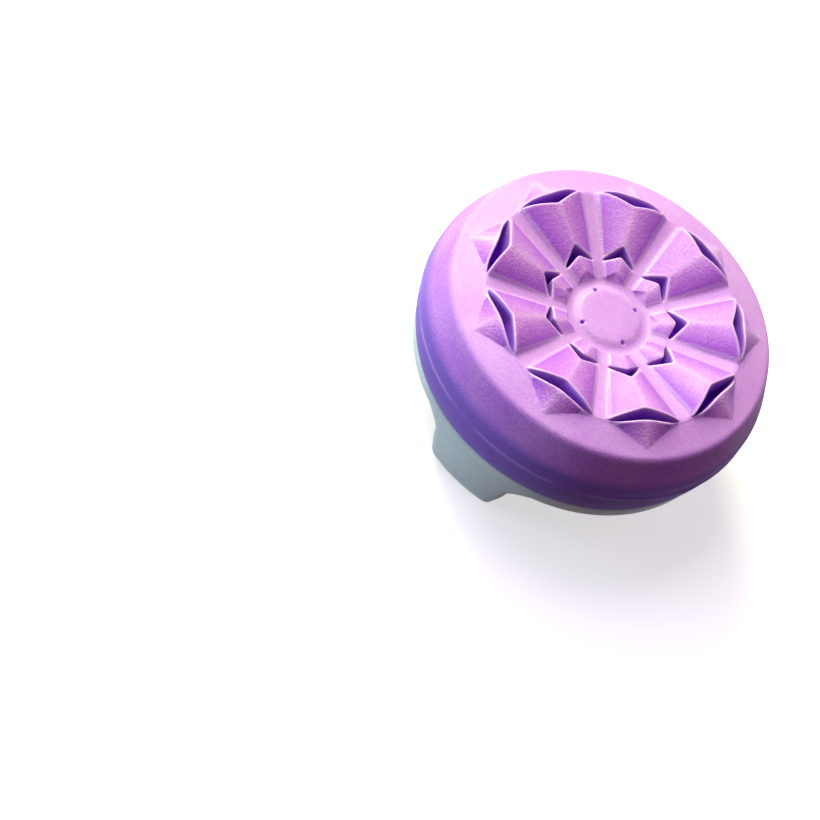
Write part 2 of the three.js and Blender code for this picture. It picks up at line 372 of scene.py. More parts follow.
def outer_slit_rows(cap):
    """Lines of the curved slit between petal and dart."""
    floor = cap.rim_height - cap.slit_depth
    # The slit marks paint shade into the slit, deepest on its floor.
    return [
        Row(ridge_point(cap, 7.68, 0.58), corner_point(cap, 8.535, 15.7, 0.09), 8.44, slit=0.6,
            bow=0.1, soft=0.65, swell=0.17),
        Row(ridge_point(cap, 7.78, -0.9), corner_point(cap, 8.55, 15.5, 0.06), 8.52, slit=1.0,
            floor=floor, bow=0.1, close=2.6),
        Row(ridge_point(cap, 8.29, -0.9), corner_point(cap, 8.57, 15.2, 0.04), 8.6, slit=1.0,
            floor=floor, bow=0.12, close=2.6),
        Row(ridge_point(cap, 8.38, 0.44), corner_point(cap, 8.59, 14.8, 0.02), 8.67, slit=0.65,
            bow=0.12, soft=0.75, swell=0.1),
    ]


def dart_rows(cap):
    """Lines of the dart, the kite outside the slit."""
    lip = ridge_point(cap, 8.43, 0.63)
    apex_radius = 10.07 * MM
    apex = Vector((apex_radius, 0.0, surface_height(cap, apex_radius)))
    rows = []
    stations = (
        (0.0, 8.7, 12.4, 8.76), (0.1, 8.74, 11.9, 8.82), (0.5, 8.77, 11.7, 8.9),
        (0.93, 8.8, 11.6, 8.98), (1.0, 8.83, 11.6, 9.05),
    )
    for along, radius, degrees, band in stations:
        corner = corner_point(cap, radius, degrees, 0.0)
        inside = 0.0 < along < 1.0
        # The dart's lip gets a painted highlight line through its edge mark.
        rows.append(Row(lip.lerp(apex, along), corner, band, etched=float(inside),
                        edge=float(along == 0.0), bow=0.12 * (1.0 - along),
                        soft=0.75 * (1.0 - along), swell=0.1 * (1.0 - along)))
    return rows


def rim_rows(cap):
    """Lines of the rim outside the darts, on which the columns spread out evenly."""
    rows = []
    for ridge_radius, corner_radius, degrees, band in (
        (10.15, 8.96, 12.2, 9.17), (10.27, 9.55, 13.6, 9.66), (10.38, 10.15, 14.9, 10.18),
    ):
        ridge = Vector((ridge_radius * MM, 0.0, surface_height(cap, ridge_radius * MM)))
        rows.append(Row(ridge, corner_point(cap, corner_radius, degrees, 0.0), band))
    return rows


def wall_stations(cap):
    """Radius and height in millimetres down the outer wall, round the bead and up inside."""
    return [
        (10.5, 10.72), (10.66, 10.63), (10.78, 10.45), (10.86, 10.2), (10.98, 9.86),
        (11.17, 9.3), (11.37, 8.72), (11.45, 8.44), (11.49, 8.24), (11.49, 8.02), (11.47, 7.76),
        (11.45, 7.56), (11.44, 7.43), (11.46, 7.34), (11.51, 7.27), (11.52, 7.17), (11.46, 7.08),
        (11.4, 6.98), (11.37, 6.7), (11.29, 6.15), (11.12, 5.5), (10.9, 4.98), (10.76, 4.74),
        (10.68, 4.65), (10.58, 4.62), (10.2, 4.62), (9.26, 4.62), (9.2, 4.7), (9.2, 7.42),
        (9.1, 7.5), (5.0, 7.5), (0.0, 7.5),
    ]


def spread(cap, length_of_line):
    """Shares along a facet's line, with the two support columns near its ends."""
    filled = list(FACET_SHARES)
    filled[1] = min(0.22, cap.ridge_round / length_of_line)
    filled[4] = 1.0 - min(0.2, cap.edge_round / length_of_line)
    return filled


def tread_line(cap, row):
    """The nine points of one row of the half sector."""
    line = row.corner - row.ridge
    bulge = Vector((line.y, -line.x, 0.0)).normalized() * row.bow * MM
    points = []
    crown = row.soft * MM / line.length
    for part in spread(cap, line.length):
        point = row.ridge.lerp(row.corner, part) + bulge * 4.0 * part * (1.0 - part) * part
        point.z += line.z * (math.hypot(part, crown) - crown - part)
        point.z += row.swell * MM * 6.75 * part * part * (1.0 - part)
        if row.floor is not None:
            rise = part ** row.close
            point.z = row.floor * (1.0 - rise) + point.z * rise
        points.append(point)
    corner_radius = math.hypot(row.corner.x, row.corner.y)
    corner_angle = math.degrees(math.atan2(row.corner.y, row.corner.x))
    lift = row.corner.z - surface_height(cap, corner_radius)
    for step, away, kept in ((1, 0.13, 0.6), (2, 0.36, 0.5), (3, None, 0.5)):
        if away is None:
            degrees = HALF_SECTOR
        else:
            degrees = corner_angle + math.degrees(away * MM / corner_radius)
        radius = corner_radius + (row.band * MM - corner_radius) * step / 3.0
        height = surface_height(cap, radius) + lift * (kept if lift > 0.0 else 1.0)
        points.append(polar(radius, degrees, height))
    return points


def round_line(radius, height):
    """Nine points spread evenly on a circle."""
    return [
        polar(radius, HALF_SECTOR * column / LAST_COLUMN, height)
        for column in range(LAST_COLUMN + 1)
    ]


def half_sector(cap):
    """All lines of the half sector, from the button's middle to the roof of the hollow."""
    lines = []
    masks = []
    for radius, drop in button_rows(cap):
        lines.append(round_line(radius * MM, cap.rim_height - drop * MM))
        # The button's bevel edge at 1.92 mm gets a faint painted highlight.
        masks.append((0.0, 0.0, 0.3 * (radius == 1.92), 1.0))
    for row in (*gem_rows(cap), *inner_slit_rows(cap), *petal_rows(cap), *outer_slit_rows(cap),
                *dart_rows(cap), *rim_rows(cap)):
        lines.append(tread_line(cap, row))
        masks.append((row.etched, row.slit, row.edge, 1.0))
    for radius, height in wall_stations(cap):
        lines.append(round_line(radius * MM, height * MM))
        # The bead gets a faint painted highlight line.
        bead = 0.3 if radius > 11.5 and height < 7.3 else 0.0
        # Satin marks the tread and rim: a glossier coat there, and a paler colour that is partly
        # painted light.
        masks.append((0.0, 0.0, bead, smooth_part(height, 10.35, 10.85)))
    return lines, masks


def grid_vertices(piece, columns, rows):
    """Vertex index of every column and row of a unit grid primitive."""
    low = Vector(piece.bound_box[0])
    high = Vector(piece.bound_box[6])
    found = {}
    for vertex in piece.data.vertices:
        column = round((vertex.co.x - low.x) / (high.x - low.x) * columns)
        row = round((vertex.co.y - low.y) / (high.y - low.y) * rows)
        found[(column, row)] = vertex.index
    return found


def paint_masks(piece, found, masks):
    """Marks facets, slits, edges, feet and the satin tread on the vertices, for the finish to
    read; the slit and foot marks paint shade, the edge marks paint highlights.
    """
    names = ("etched", "slit", "edge", "satin", "foot")
    for name in names:
        piece.data.attributes.new(name, "FLOAT", "POINT")
    etched, slit, edge, satin, foot = (piece.data.attributes[name].data for name in names)
    for (column, row), index in found.items():
        satin[index].value = masks[row][3]
        if column > CORNER_COLUMN:
            continue
        etched[index].value, slit[index].value, edge[index].value = masks[row][:3]
        # Painted shade in the slits fades out towards the facets' corners.
        slit[index].value *= (1.0, 1.0, 1.0, 0.85, 0.3, 0.0)[column]
        # The foot mark paints shade, darkest next to the facets' side edges.
        foot[index].value = masks[row][0] * (0.0, 0.0, 0.2, 0.6, 1.0, 0.7)[column]
        # Ridges and corner creases of the facets get painted highlight lines.
        if column in (RIDGE_COLUMN, CORNER_COLUMN) and masks[row][0] > 0.0:
            edge[index].value = max(masks[row][2], 0.35 if column == RIDGE_COLUMN else 0.6)


class GRIP_OT_cap(bpy.types.Operator):
    """Models the soft cap: one half sector from listed points, mirrored, copied round and rounded
    off
    """

    bl_idname = "grip.cap"
    bl_label = "Soft cap"

    def execute(self, context):
        cap = sizes("grip_cap")
        lines, masks = half_sector(cap)
        last_row = len(lines) - 1
        deselect()
        bpy.ops.mesh.primitive_grid_add(
            x_subdivisions=LAST_COLUMN, y_subdivisions=last_row, size=cap.tread_radius,
        )
        piece = added("soft_cap")
        found = grid_vertices(piece, LAST_COLUMN, last_row)
        if len(found) != (LAST_COLUMN + 1) * (last_row + 1):
            raise RuntimeError("The grid for the half sector has the wrong number of points")
        paint_masks(piece, found, masks)
        bpy.ops.object.mode_set(mode="EDIT")
        for (column, row), index in found.items():
            move_vertex(piece, index, lines[row][column])
        bpy.ops.object.mode_set(mode="OBJECT")
        apply_modifier(
            piece, "MIRROR", use_axis=(False, True, False), use_mirror_merge=True,
            merge_threshold=WELD,
        )
        edit_all(piece)
        bpy.ops.mesh.spin(
            steps=cap.sectors - 1, dupli=True, center=(0.0, 0.0, 0.0), axis=(0.0, 0.0, 1.0),
            angle=math.tau * (cap.sectors - 1) / cap.sectors,
        )
        bpy.ops.object.mode_set(mode="OBJECT")
        close_up(piece)
        apply_modifier(piece, "SUBSURF", levels=1, render_levels=1)
        self.sink_pits(piece, cap)
        edit_all(piece)
        turn_selected(-cap.tread_turn)
        bpy.ops.object.mode_set(mode="OBJECT")
        bpy.ops.object.shade_smooth()
        piece.data.materials.append(cap_finish(sizes("grip_finishes")))
        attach(piece, "root")
        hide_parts("grip_cap")
        return {"FINISHED"}

    def sink_pits(self, piece, cap):
        """Sinks the four small pits into the button's bevel."""
        activate(piece)
        bpy.ops.object.mode_set(mode="EDIT")
        for index in range(PITS):
            turn = math.degrees(cap.pit_turn) + index * 360.0 / PITS
            centre = polar(cap.pit_circle, turn, cap.rim_height - PIT_DROP * MM)
            mesh = bmesh.from_edit_mesh(piece.data)
            bpy.ops.mesh.select_all(action="DESELECT")
            nearest = min(mesh.verts, key=lambda vertex: (vertex.co - centre).length_squared)
            nearest.select = True
            mesh.select_flush_mode()
            bpy.ops.transform.translate(
                value=(0.0, 0.0, -cap.pit_depth), use_proportional_edit=True,
                proportional_edit_falloff="SMOOTH", proportional_size=cap.pit_reach,
                use_proportional_connected=True,
            )
        bpy.ops.object.mode_set(mode="OBJECT")
        # Paints shade into each pit through the slit mark.
        slit = piece.data.attributes["slit"].data
        for index in range(PITS):
            turn = math.degrees(cap.pit_turn) + index * 360.0 / PITS
            centre = polar(cap.pit_circle, turn, cap.rim_height - PIT_DROP * MM - cap.pit_depth)
            for vertex in piece.data.vertices:
                away = (vertex.co - centre).xy.length
                if away < cap.pit_reach and abs(vertex.co.z - centre.z) < cap.pit_reach * 2.0:
                    slit[vertex.index].value = 1.0 - smooth_part(away, 0.3 * cap.pit_reach,
                                                                cap.pit_reach)


def smooth_part(value, low, high):
    """Zero below low, one above high, with a soft start and end between."""
    part = min(1.0, max(0.0, (value - low) / (high - low)))
    return part * part * (3.0 - 2.0 * part)


def leg_half_width(height):
    """Half width of a leg in millimetres: round foot corners, then a flare into the flange."""
    if height < 0.8:
        part = 1.0 - height / 0.8
        return 2.5 - 0.8 * part ** 2.4
    if height < 2.1:
        return 2.5 + 0.55 * smooth_part(height, 0.4, 2.6)
    rise = (height - 2.1) / 1.6
    return 2.99 + 0.08 * rise + 1.6 * rise ** 3.2


def leg_stations():
    """Height, inner radius and outer radius in millimetres up a leg."""
    return [
        (0.0, 9.1, 9.42), (0.02, 9.0, 9.56), (0.1, 8.88, 9.76), (0.26, 8.74, 9.96),
        (0.5, 8.52, 10.14), (0.78, 8.28, 10.27), (0.86, 8.25, 10.3), (1.06, 8.25, 10.34),
        (1.16, 8.32, 10.36), (1.5, 8.7, 10.4), (1.62, 8.75, 10.42), (2.1, 8.76, 10.46),
        (2.6, 8.77, 10.5), (3.0, 8.78, 10.53), (3.35, 8.79, 10.57), (3.6, 8.8, 10.59),
        (3.7, 8.8, 10.6), (3.9, 8.8, 10.6),
    ]


LEG_SHARES = (-1.0, -0.93, -0.75, -0.5, -0.25, 0.0, 0.25, 0.5, 0.75, 0.93, 1.0)


def leg_loop(height, inner, outer):
    """Points once round a leg at one height: outer side, edge, inner side, edge."""
    half = leg_half_width(height)
    corner = 0.13
    outer_side = []
    inner_side = []
    for part in LEG_SHARES:
        across = part * half
        tuck = corner if abs(part) == 1.0 else 0.0
        outer_side.append(Vector((across, -math.sqrt((outer - tuck) ** 2 - across ** 2), height)))
        inner_side.append(Vector((across, -math.sqrt((inner + tuck) ** 2 - across ** 2), height)))
    right = outer_side[-1].lerp(inner_side[-1], 0.5)
    left = outer_side[0].lerp(inner_side[0], 0.5)
    loop = [*outer_side, right, *reversed(inner_side), left]
    return [point * MM for point in loop]


def rounded_profile(name, points, rounded, width):
    """Extrudes one vertex along a profile in edit mode and rounds the named corners."""
    deselect()
    bpy.ops.mesh.primitive_plane_add(size=MM, location=(0.0, 0.0, 0.0))
    piece = added(name)
    bpy.ops.object.mode_set(mode="EDIT")
    bpy.ops.mesh.select_all(action="SELECT")
    bpy.ops.mesh.merge(type="CENTER")
    bpy.ops.transform.translate(value=points[0])
    for before, after in zip(points, points[1:]):
        bpy.ops.mesh.extrude_region_move(TRANSFORM_OT_translate={"value": after - before})
    bpy.ops.mesh.select_all(action="DESELECT")
    mesh = bmesh.from_edit_mesh(piece.data)
    for vertex in mesh.verts:
        if any((vertex.co - points[index]).length < WELD for index in rounded):
            vertex.select = True
    mesh.select_flush_mode()
    bpy.ops.mesh.bevel(offset=width, segments=3, affect="VERTICES", clamp_overlap=True)
    bpy.ops.object.mode_set(mode="OBJECT")
    return piece


def spin_round(piece, steps):
    """Spins a profile once round Z and closes it."""
    edit_all(piece)
    bpy.ops.mesh.spin(
        steps=steps, angle=math.tau, center=(0.0, 0.0, 0.0), axis=(0.0, 0.0, 1.0),
    )
    bpy.ops.object.mode_set(mode="OBJECT")
    close_up(piece)


def cut_or_join(piece, other, operation):
    """Cuts another piece out of this one, or joins it on, and removes the other."""
    apply_modifier(piece, "BOOLEAN", operation=operation, object=other, solver="EXACT")
    bpy.data.objects.remove(other, do_unlink=True)


class GRIP_OT_base(bpy.types.Operator):
    """Models the rigid base: a spun plate with a relief below, and three legs lofted up"""

    bl_idname = "grip.base"
    bl_label = "Clip base"

    def execute(self, context):
        base = sizes("grip_base")
        piece = self.plate(base)
        cut_or_join(piece, self.relief(base), "DIFFERENCE")
        for index in range(base.legs):
            cut_or_join(piece, self.leg(base, index), "UNION")
        close_up(piece)
        bpy.ops.object.shade_smooth_by_angle(angle=math.radians(SMOOTH_DEGREES))
        piece.data.materials.append(base_finish(sizes("grip_finishes")))
        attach(piece, "root")
        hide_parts("clip_base")
        return {"FINISHED"}

    def plate(self, base):
        """The plate with its flange and the core that the cap is moulded over."""
        chamfer = 0.25 * MM
        points = [
            Vector((0.0, 0.0, base.seat_height - 0.05 * MM)),
            Vector((0.5 * MM, 0.0, base.seat_height - 0.05 * MM)),
            Vector((0.6 * MM, 0.0, base.seat_height)),
            Vector((base.socket_radius, 0.0, base.seat_height)),
            Vector((base.socket_radius, 0.0, base.flange_bottom)),
            Vector((base.flange_radius - chamfer, 0.0, base.flange_bottom)),
            Vector((base.flange_radius, 0.0, base.flange_bottom + chamfer)),
            Vector((base.flange_radius, 0.0, base.flange_top)),
            Vector((base.core_radius, 0.0, base.flange_top)),
            Vector((base.core_radius, 0.0, base.core_height)),
            Vector((0.0, 0.0, base.core_height)),
        ]
        piece = rounded_profile("clip_base_shell", points, (4, 5, 6, 7), base.edge_round)
        spin_round(piece, PLATE_STEPS)
        return piece

    def relief(self, base):
        """The ring pocket in the socket's ceiling, less one spoke to each leg."""
        deep = base.relief_depth
        points = [
            Vector((2.6 * MM, 0.0, base.seat_height - deep)),
            Vector((7.15 * MM, 0.0, base.seat_height - deep)),
            Vector((7.0 * MM, 0.0, base.seat_height + deep)),
            Vector((2.75 * MM, 0.0, base.seat_height + deep)),
            Vector((2.6 * MM, 0.0, base.seat_height - deep)),
        ]
        ring = rounded_profile("relief", points, (2, 3), base.edge_round)
        spin_round(ring, RELIEF_STEPS)
        for index in range(base.legs):
            deselect()
            bpy.ops.mesh.primitive_cube_add(size=1.0)
            spoke = added("spoke")
            bpy.ops.object.mode_set(mode="EDIT")
            bpy.ops.mesh.select_all(action="SELECT")
            bpy.ops.transform.resize(value=(2.4 * MM, base.socket_radius, 4.0 * deep))
            bpy.ops.transform.translate(value=(0.0, -base.socket_radius / 2.0, base.seat_height))
            turn_selected(-math.tau * index / base.legs)
            bpy.ops.object.mode_set(mode="OBJECT")
            cut_or_join(ring, spoke, "DIFFERENCE")
        return ring

    def leg(self, base, index):
        """One leg: a loop drawn at the foot and extruded up from station to station."""
        loops = [leg_loop(*station) for station in leg_stations()]
        count = len(loops[0])
        deselect()
        bpy.ops.mesh.primitive_circle_add(vertices=count, radius=MM, fill_type="NOTHING")
        piece = added("leg")
        bpy.ops.object.mode_set(mode="EDIT")
        for number, point in enumerate(loops[0]):
            move_vertex(piece, number, point)
        for level, loop in enumerate(loops[1:], 1):
            self.extrude_loop(piece, count * (level - 1), loop)
        self.fill_ends(piece, loops)
        bpy.ops.object.mode_set(mode="OBJECT")
        close_up(piece)
        apply_modifier(piece, "SUBSURF", levels=2, render_levels=2)
        edit_all(piece)
        turn_selected(-math.tau * index / base.legs)
        bpy.ops.object.mode_set(mode="OBJECT")
        return piece

    def extrude_loop(self, piece, first, loop):
        """Extrudes the last loop and puts the new loop's points in place."""
        select_loop(piece, first, len(loop))
        bpy.ops.mesh.extrude_edges_move(TRANSFORM_OT_translate={"value": (0.0, 0.0, 0.01 * MM)})
        mesh = bmesh.from_edit_mesh(piece.data)
        mesh.verts.ensure_lookup_table()
        for number in range(len(loop)):
            old = mesh.verts[first + number]
            new = next(
                edge.other_vert(old) for edge in old.link_edges
                if edge.other_vert(old).index >= first + len(loop)
            )
            if new.index != first + len(loop) + number:
                raise RuntimeError("The extruded loop came out in another order")
        for number, point in enumerate(loop):
            move_vertex(piece, first + len(loop) + number, point)

    def fill_ends(self, piece, loops):
        """Closes the foot and the top of a leg."""
        count = len(loops[0])
        for first in (0, count * (len(loops) - 1)):
            select_loop(piece, first, count)
            bpy.ops.mesh.edge_face_add()
            bpy.ops.mesh.inset(thickness=0.05 * MM)


def add_node(tree, kind, **settings):
    """Adds a node and sets its plain properties and its sockets, the latter by name."""
    node = tree.nodes.new(kind)
    for key, value in settings.items():
        if hasattr(node, key):
            setattr(node, key, value)
        else:
            node.inputs[key].default_value = value
    return node


def new_group(name, inputs, outputs):
    """A node group with float or colour or vector sockets, ready for its nodes."""
    tree = bpy.data.node_groups.new(name, "ShaderNodeTree")
    for label, kind in inputs:
        tree.interface.new_socket(label, in_out="INPUT", socket_type=kind)
    for label, kind in outputs:
        tree.interface.new_socket(label, in_out="OUTPUT", socket_type=kind)
    return tree, tree.nodes.new("NodeGroupInput"), tree.nodes.new("NodeGroupOutput")


def moulded_grain():
    """Shared group: fine and coarse grain of a moulded surface, from object coordinates."""
    name = "Moulded grain"
    if name in bpy.data.node_groups:
        return bpy.data.node_groups[name]
    tree, start, end = new_group(
        name,
        [("Grain size", "NodeSocketFloat"), ("Stretch", "NodeSocketVector")],
        [(label, "NodeSocketFloat") for label in ("Fine", "Coarse", "Speckle")],
    )
    link = tree.links.new
    place = add_node(tree, "ShaderNodeTexCoord")
    scale = add_node(tree, "ShaderNodeMapping")
    link(place.outputs["Object"], scale.inputs["Vector"])
    link(start.outputs["Stretch"], scale.inputs["Scale"])
    fine = add_node(tree, "ShaderNodeTexNoise", Detail=2.0, Roughness=0.55)
    coarse = add_node(tree, "ShaderNodeTexNoise", Detail=4.0, Roughness=0.55, Scale=0.35)
    cells = add_node(tree, "ShaderNodeTexVoronoi", Randomness=1.0)
    for texture in (fine, coarse, cells):
        link(scale.outputs["Vector"], texture.inputs["Vector"])
    link(start.outputs["Grain size"], fine.inputs["Scale"])
    link(start.outputs["Grain size"], cells.inputs["Scale"])
    speck = add_node(tree, "ShaderNodeMapRange", interpolation_type="SMOOTHSTEP")
    speck.inputs["From Min"].default_value = 0.32
    speck.inputs["From Max"].default_value = 0.08
    link(cells.outputs["Distance"], speck.inputs["Value"])
    for texture, label in ((fine, "Fine"), (coarse, "Coarse")):
        steep = add_node(tree, "ShaderNodeMapRange", interpolation_type="SMOOTHSTEP")
        steep.inputs["From Min"].default_value = 0.3
        steep.inputs["From Max"].default_value = 0.7
        link(texture.outputs["Fac"], steep.inputs["Value"])
        link(steep.outputs["Result"], end.inputs[label])
    link(speck.outputs["Result"], end.inputs["Speckle"])
    return tree


def mix_colour(tree, factor, first, second):
    """A colour mix whose factor is a socket and whose colours are sockets or plain values."""
    node = add_node(tree, "ShaderNodeMix", data_type="RGBA")
    tree.links.new(factor, node.inputs[0])
    for socket, value in ((node.inputs[6], first), (node.inputs[7], second)):
        if isinstance(value, bpy.types.NodeSocket):
            tree.links.new(value, socket)
        else:
            socket.default_value = (*value, 1.0)
    return node.outputs[2]


def combine(tree, operation, first, second, third=None):
    """A maths node whose inputs are sockets or plain numbers."""
    node = add_node(tree, "ShaderNodeMath", operation=operation)
    for socket, value in zip(node.inputs, (first, second, third)):
        if value is None:
            continue
        if isinstance(value, bpy.types.NodeSocket):
            tree.links.new(value, socket)
        else:
            socket.default_value = value
    return node.outputs[0]


def start_material(name):
    """A new node material, its tree and its Principled shader."""
    material = bpy.data.materials.new(name)
    material.use_nodes = True
    tree = material.node_tree
    return material, tree, tree.nodes["Principled BSDF"]


def grain_node(tree, size, stretch):
    """The shared grain group placed in a material, in grains per millimetre."""
    node = tree.nodes.new("ShaderNodeGroup")
    node.node_tree = moulded_grain()
    node.inputs["Grain size"].default_value = size
    node.inputs["Stretch"].default_value = [axis / MM for axis in stretch]
    return node


def lower_part(tree, start, end):
    """Zero above the first height in millimetres, one below the second, softly."""
    place = add_node(tree, "ShaderNodeTexCoord").outputs["Object"]
    axes = add_node(tree, "ShaderNodeSeparateXYZ")
    tree.links.new(place, axes.inputs[0])
    part = add_node(tree, "ShaderNodeMapRange", interpolation_type="SMOOTHSTEP")
    part.inputs["From Min"].default_value = end * MM
    part.inputs["From Max"].default_value = start * MM
    part.inputs["To Min"].default_value = 1.0
    part.inputs["To Max"].default_value = 0.0
    tree.links.new(axes.outputs["Z"], part.inputs["Value"])
    return part.outputs["Result"]


def cap_finish(finishes):
    """Satin elastomer: etched grain on the facets and a smoother rim, with painted shade in the
    slits, at the facets' feet and on the lower wall, painted highlights on edges and specks, and a
    paler top that is partly painted light.
    """
    material, tree, shader = start_material("Cap elastomer")
    link = tree.links.new
    grain = grain_node(tree, 6.5, (0.85, 1.1, 1.3))
    etched = add_node(tree, "ShaderNodeAttribute", attribute_name="etched").outputs["Fac"]
    slit = add_node(tree, "ShaderNodeAttribute", attribute_name="slit").outputs["Fac"]
    edge = add_node(tree, "ShaderNodeAttribute", attribute_name="edge").outputs["Fac"]
    mottle = combine(tree, "MULTIPLY_ADD", grain.outputs["Coarse"], 0.45, 0.0)
    mottle = combine(tree, "MULTIPLY_ADD", grain.outputs["Fine"], 0.55, mottle)
    satin = add_node(tree, "ShaderNodeAttribute", attribute_name="satin").outputs["Fac"]
    # The foot mark paints shade: the facets darken towards their side edges, through the darker
    # mottling and the foot colour.
    foot = add_node(tree, "ShaderNodeAttribute", attribute_name="foot").outputs["Fac"]
    foot = combine(tree, "MULTIPLY", foot, 0.5)
    # Partly painted light: the smooth tread and rim are paler than the facets and the wall.
    plain = combine(tree, "MULTIPLY", satin, combine(tree, "SUBTRACT", 1.0, etched))
    plain = combine(tree, "MULTIPLY", plain, 0.4)
    mottle = combine(tree, "SUBTRACT", mottle, foot)
    colour = mix_colour(tree, mottle, finishes.cap_mottle_and_shade, finishes.cap_colour)
    colour = mix_colour(tree, foot, colour, finishes.cap_foot_shade)
    colour = mix_colour(tree, plain, colour, finishes.cap_smooth_and_lit)
    # Painted shade: the wall turns darker and bluer towards its bottom.
    wall = combine(tree, "MULTIPLY_ADD", lower_part(tree, 9.1, 8.1), 0.62, 0.14)
    wall = combine(tree, "MULTIPLY", combine(tree, "SUBTRACT", 1.0, satin), wall)
    colour = mix_colour(tree, wall, colour, finishes.cap_wall_shade)
    # Painted highlights: light specks on the etched facets and light lines along the edge marks.
    speckle = combine(tree, "MULTIPLY", grain.outputs["Speckle"], etched)
    highlight = combine(tree, "MAXIMUM", combine(tree, "MULTIPLY", speckle, 0.32), edge)
    colour = mix_colour(tree, highlight, colour, finishes.cap_highlight)
    # Painted shade: the slits and pits take the deep colour.
    colour = mix_colour(tree, slit, colour, finishes.cap_slit_shade)
    link(colour, shader.inputs["Base Color"])
    least = finishes.cap_gloss - 0.06
    rough = combine(tree, "MULTIPLY_ADD", grain.outputs["Coarse"], 0.12, least)
    rough = combine(tree, "MULTIPLY_ADD", speckle, -0.08, rough)
    link(rough, shader.inputs["Roughness"])
    strength = combine(tree, "MULTIPLY_ADD", etched, 0.6, 0.4)
    height = combine(tree, "MULTIPLY", grain.outputs["Fine"], strength)
    height = combine(tree, "MULTIPLY_ADD", speckle, 0.3, height)
    bump = add_node(tree, "ShaderNodeBump", Strength=0.8, Distance=0.032 * MM)
    link(height, bump.inputs["Height"])
    link(bump.outputs["Normal"], shader.inputs["Normal"])
    open_part = combine(tree, "MULTIPLY", combine(tree, "SUBTRACT", 1.0, slit), satin)
    link(combine(tree, "MULTIPLY", open_part, 0.6), shader.inputs["Coat Weight"])
    shader.inputs["Subsurface Weight"].default_value = 0.35
    shader.inputs["Subsurface Radius"].default_value = (1.0, 0.35, 1.0)
    shader.inputs["Subsurface Scale"].default_value = 0.3 * MM
    shader.inputs["Coat Roughness"].default_value = 0.42
    shader.inputs["Coat IOR"].default_value = 1.45
    shader.inputs["IOR"].default_value = 1.45
    shader.inputs["Specular IOR Level"].default_value = 0.03
    shader.inputs["Sheen Weight"].default_value = 0.14
    shader.inputs["Sheen Roughness"].default_value = 0.45
    shader.inputs["Sheen Tint"].default_value = (0.35, 0.35, 1.0, 1.0)
    return material


def base_finish(finishes):
    """Satin rigid plastic with faint flow marks and fine grain."""
    material, tree, shader = start_material("Base plastic")
    link = tree.links.new
    grain = grain_node(tree, 9.0, (1.0, 1.0, 0.6))
    colour = mix_colour(tree, grain.outputs["Coarse"], finishes.base_deep, finishes.base_colour)
    link(colour, shader.inputs["Base Color"])
    least = finishes.base_gloss - 0.07
    rough = combine(tree, "MULTIPLY_ADD", grain.outputs["Coarse"], 0.14, least)
    link(rough, shader.inputs["Roughness"])
    bump = add_node(tree, "ShaderNodeBump", Strength=0.35, Distance=0.006 * MM)
    link(grain.outputs["Fine"], bump.inputs["Height"])
    link(bump.outputs["Normal"], shader.inputs["Normal"])
    shader.inputs["IOR"].default_value = 1.5
    shader.inputs["Specular IOR Level"].default_value = 0.5
    return material


def floor_finish():
    """White floor for the camera and reflections, darker for the light it throws back."""
    material, tree, shader = start_material("Floor")
    link = tree.links.new
    shader.inputs["Base Color"].default_value = (0.03, 0.03, 0.03, 1.0)
    shader.inputs["Roughness"].default_value = 1.0
    shader.inputs["Specular IOR Level"].default_value = 0.0
    shown = add_node(tree, "ShaderNodeBsdfDiffuse", Color=(0.62, 0.62, 0.62, 1.0))
    glow = add_node(tree, "ShaderNodeEmission", Color=(1.0, 1.0, 1.0, 1.0), Strength=0.6)
    both = add_node(tree, "ShaderNodeAddShader")
    link(shown.outputs[0], both.inputs[0])
    link(glow.outputs[0], both.inputs[1])
    pick = add_node(tree, "ShaderNodeMixShader")
    link(seen_by_camera(tree), pick.inputs[0])
    link(shader.outputs[0], pick.inputs[1])
    link(both.outputs[0], pick.inputs[2])
    link(pick.outputs[0], tree.nodes["Material Output"].inputs["Surface"])
    return material


def seen_by_camera(tree):
    """One for camera, glossy and transmission rays, else zero."""
    rays = add_node(tree, "ShaderNodeLightPath").outputs
    either = combine(tree, "MAXIMUM", rays["Is Camera Ray"], rays["Is Glossy Ray"])
    return combine(tree, "MAXIMUM", either, rays["Is Transmission Ray"])


def direction(turn, climb):
    """Unit vector from an angle round Z and an angle above the horizon, in degrees."""
    return Vector((
        math.cos(math.radians(turn)) * math.cos(math.radians(climb)),
        math.sin(math.radians(turn)) * math.cos(math.radians(climb)),
        math.sin(math.radians(climb)),
    ))


def add_lamp(name, towards, size, power, tint):
    """A square soft lamp that points at the grip."""
    target = Vector((0.0, 0.0, LAMP_TARGET * MM))
    deselect()
    bpy.ops.object.light_add(type="AREA", location=target + towards * LAMP_DISTANCE)
    lamp = bpy.context.object
    lamp.name = name
    lamp.rotation_euler = towards.to_track_quat("Z", "Y").to_euler()
    lamp.data.size = size
    lamp.data.energy = power
    lamp.data.color = tint


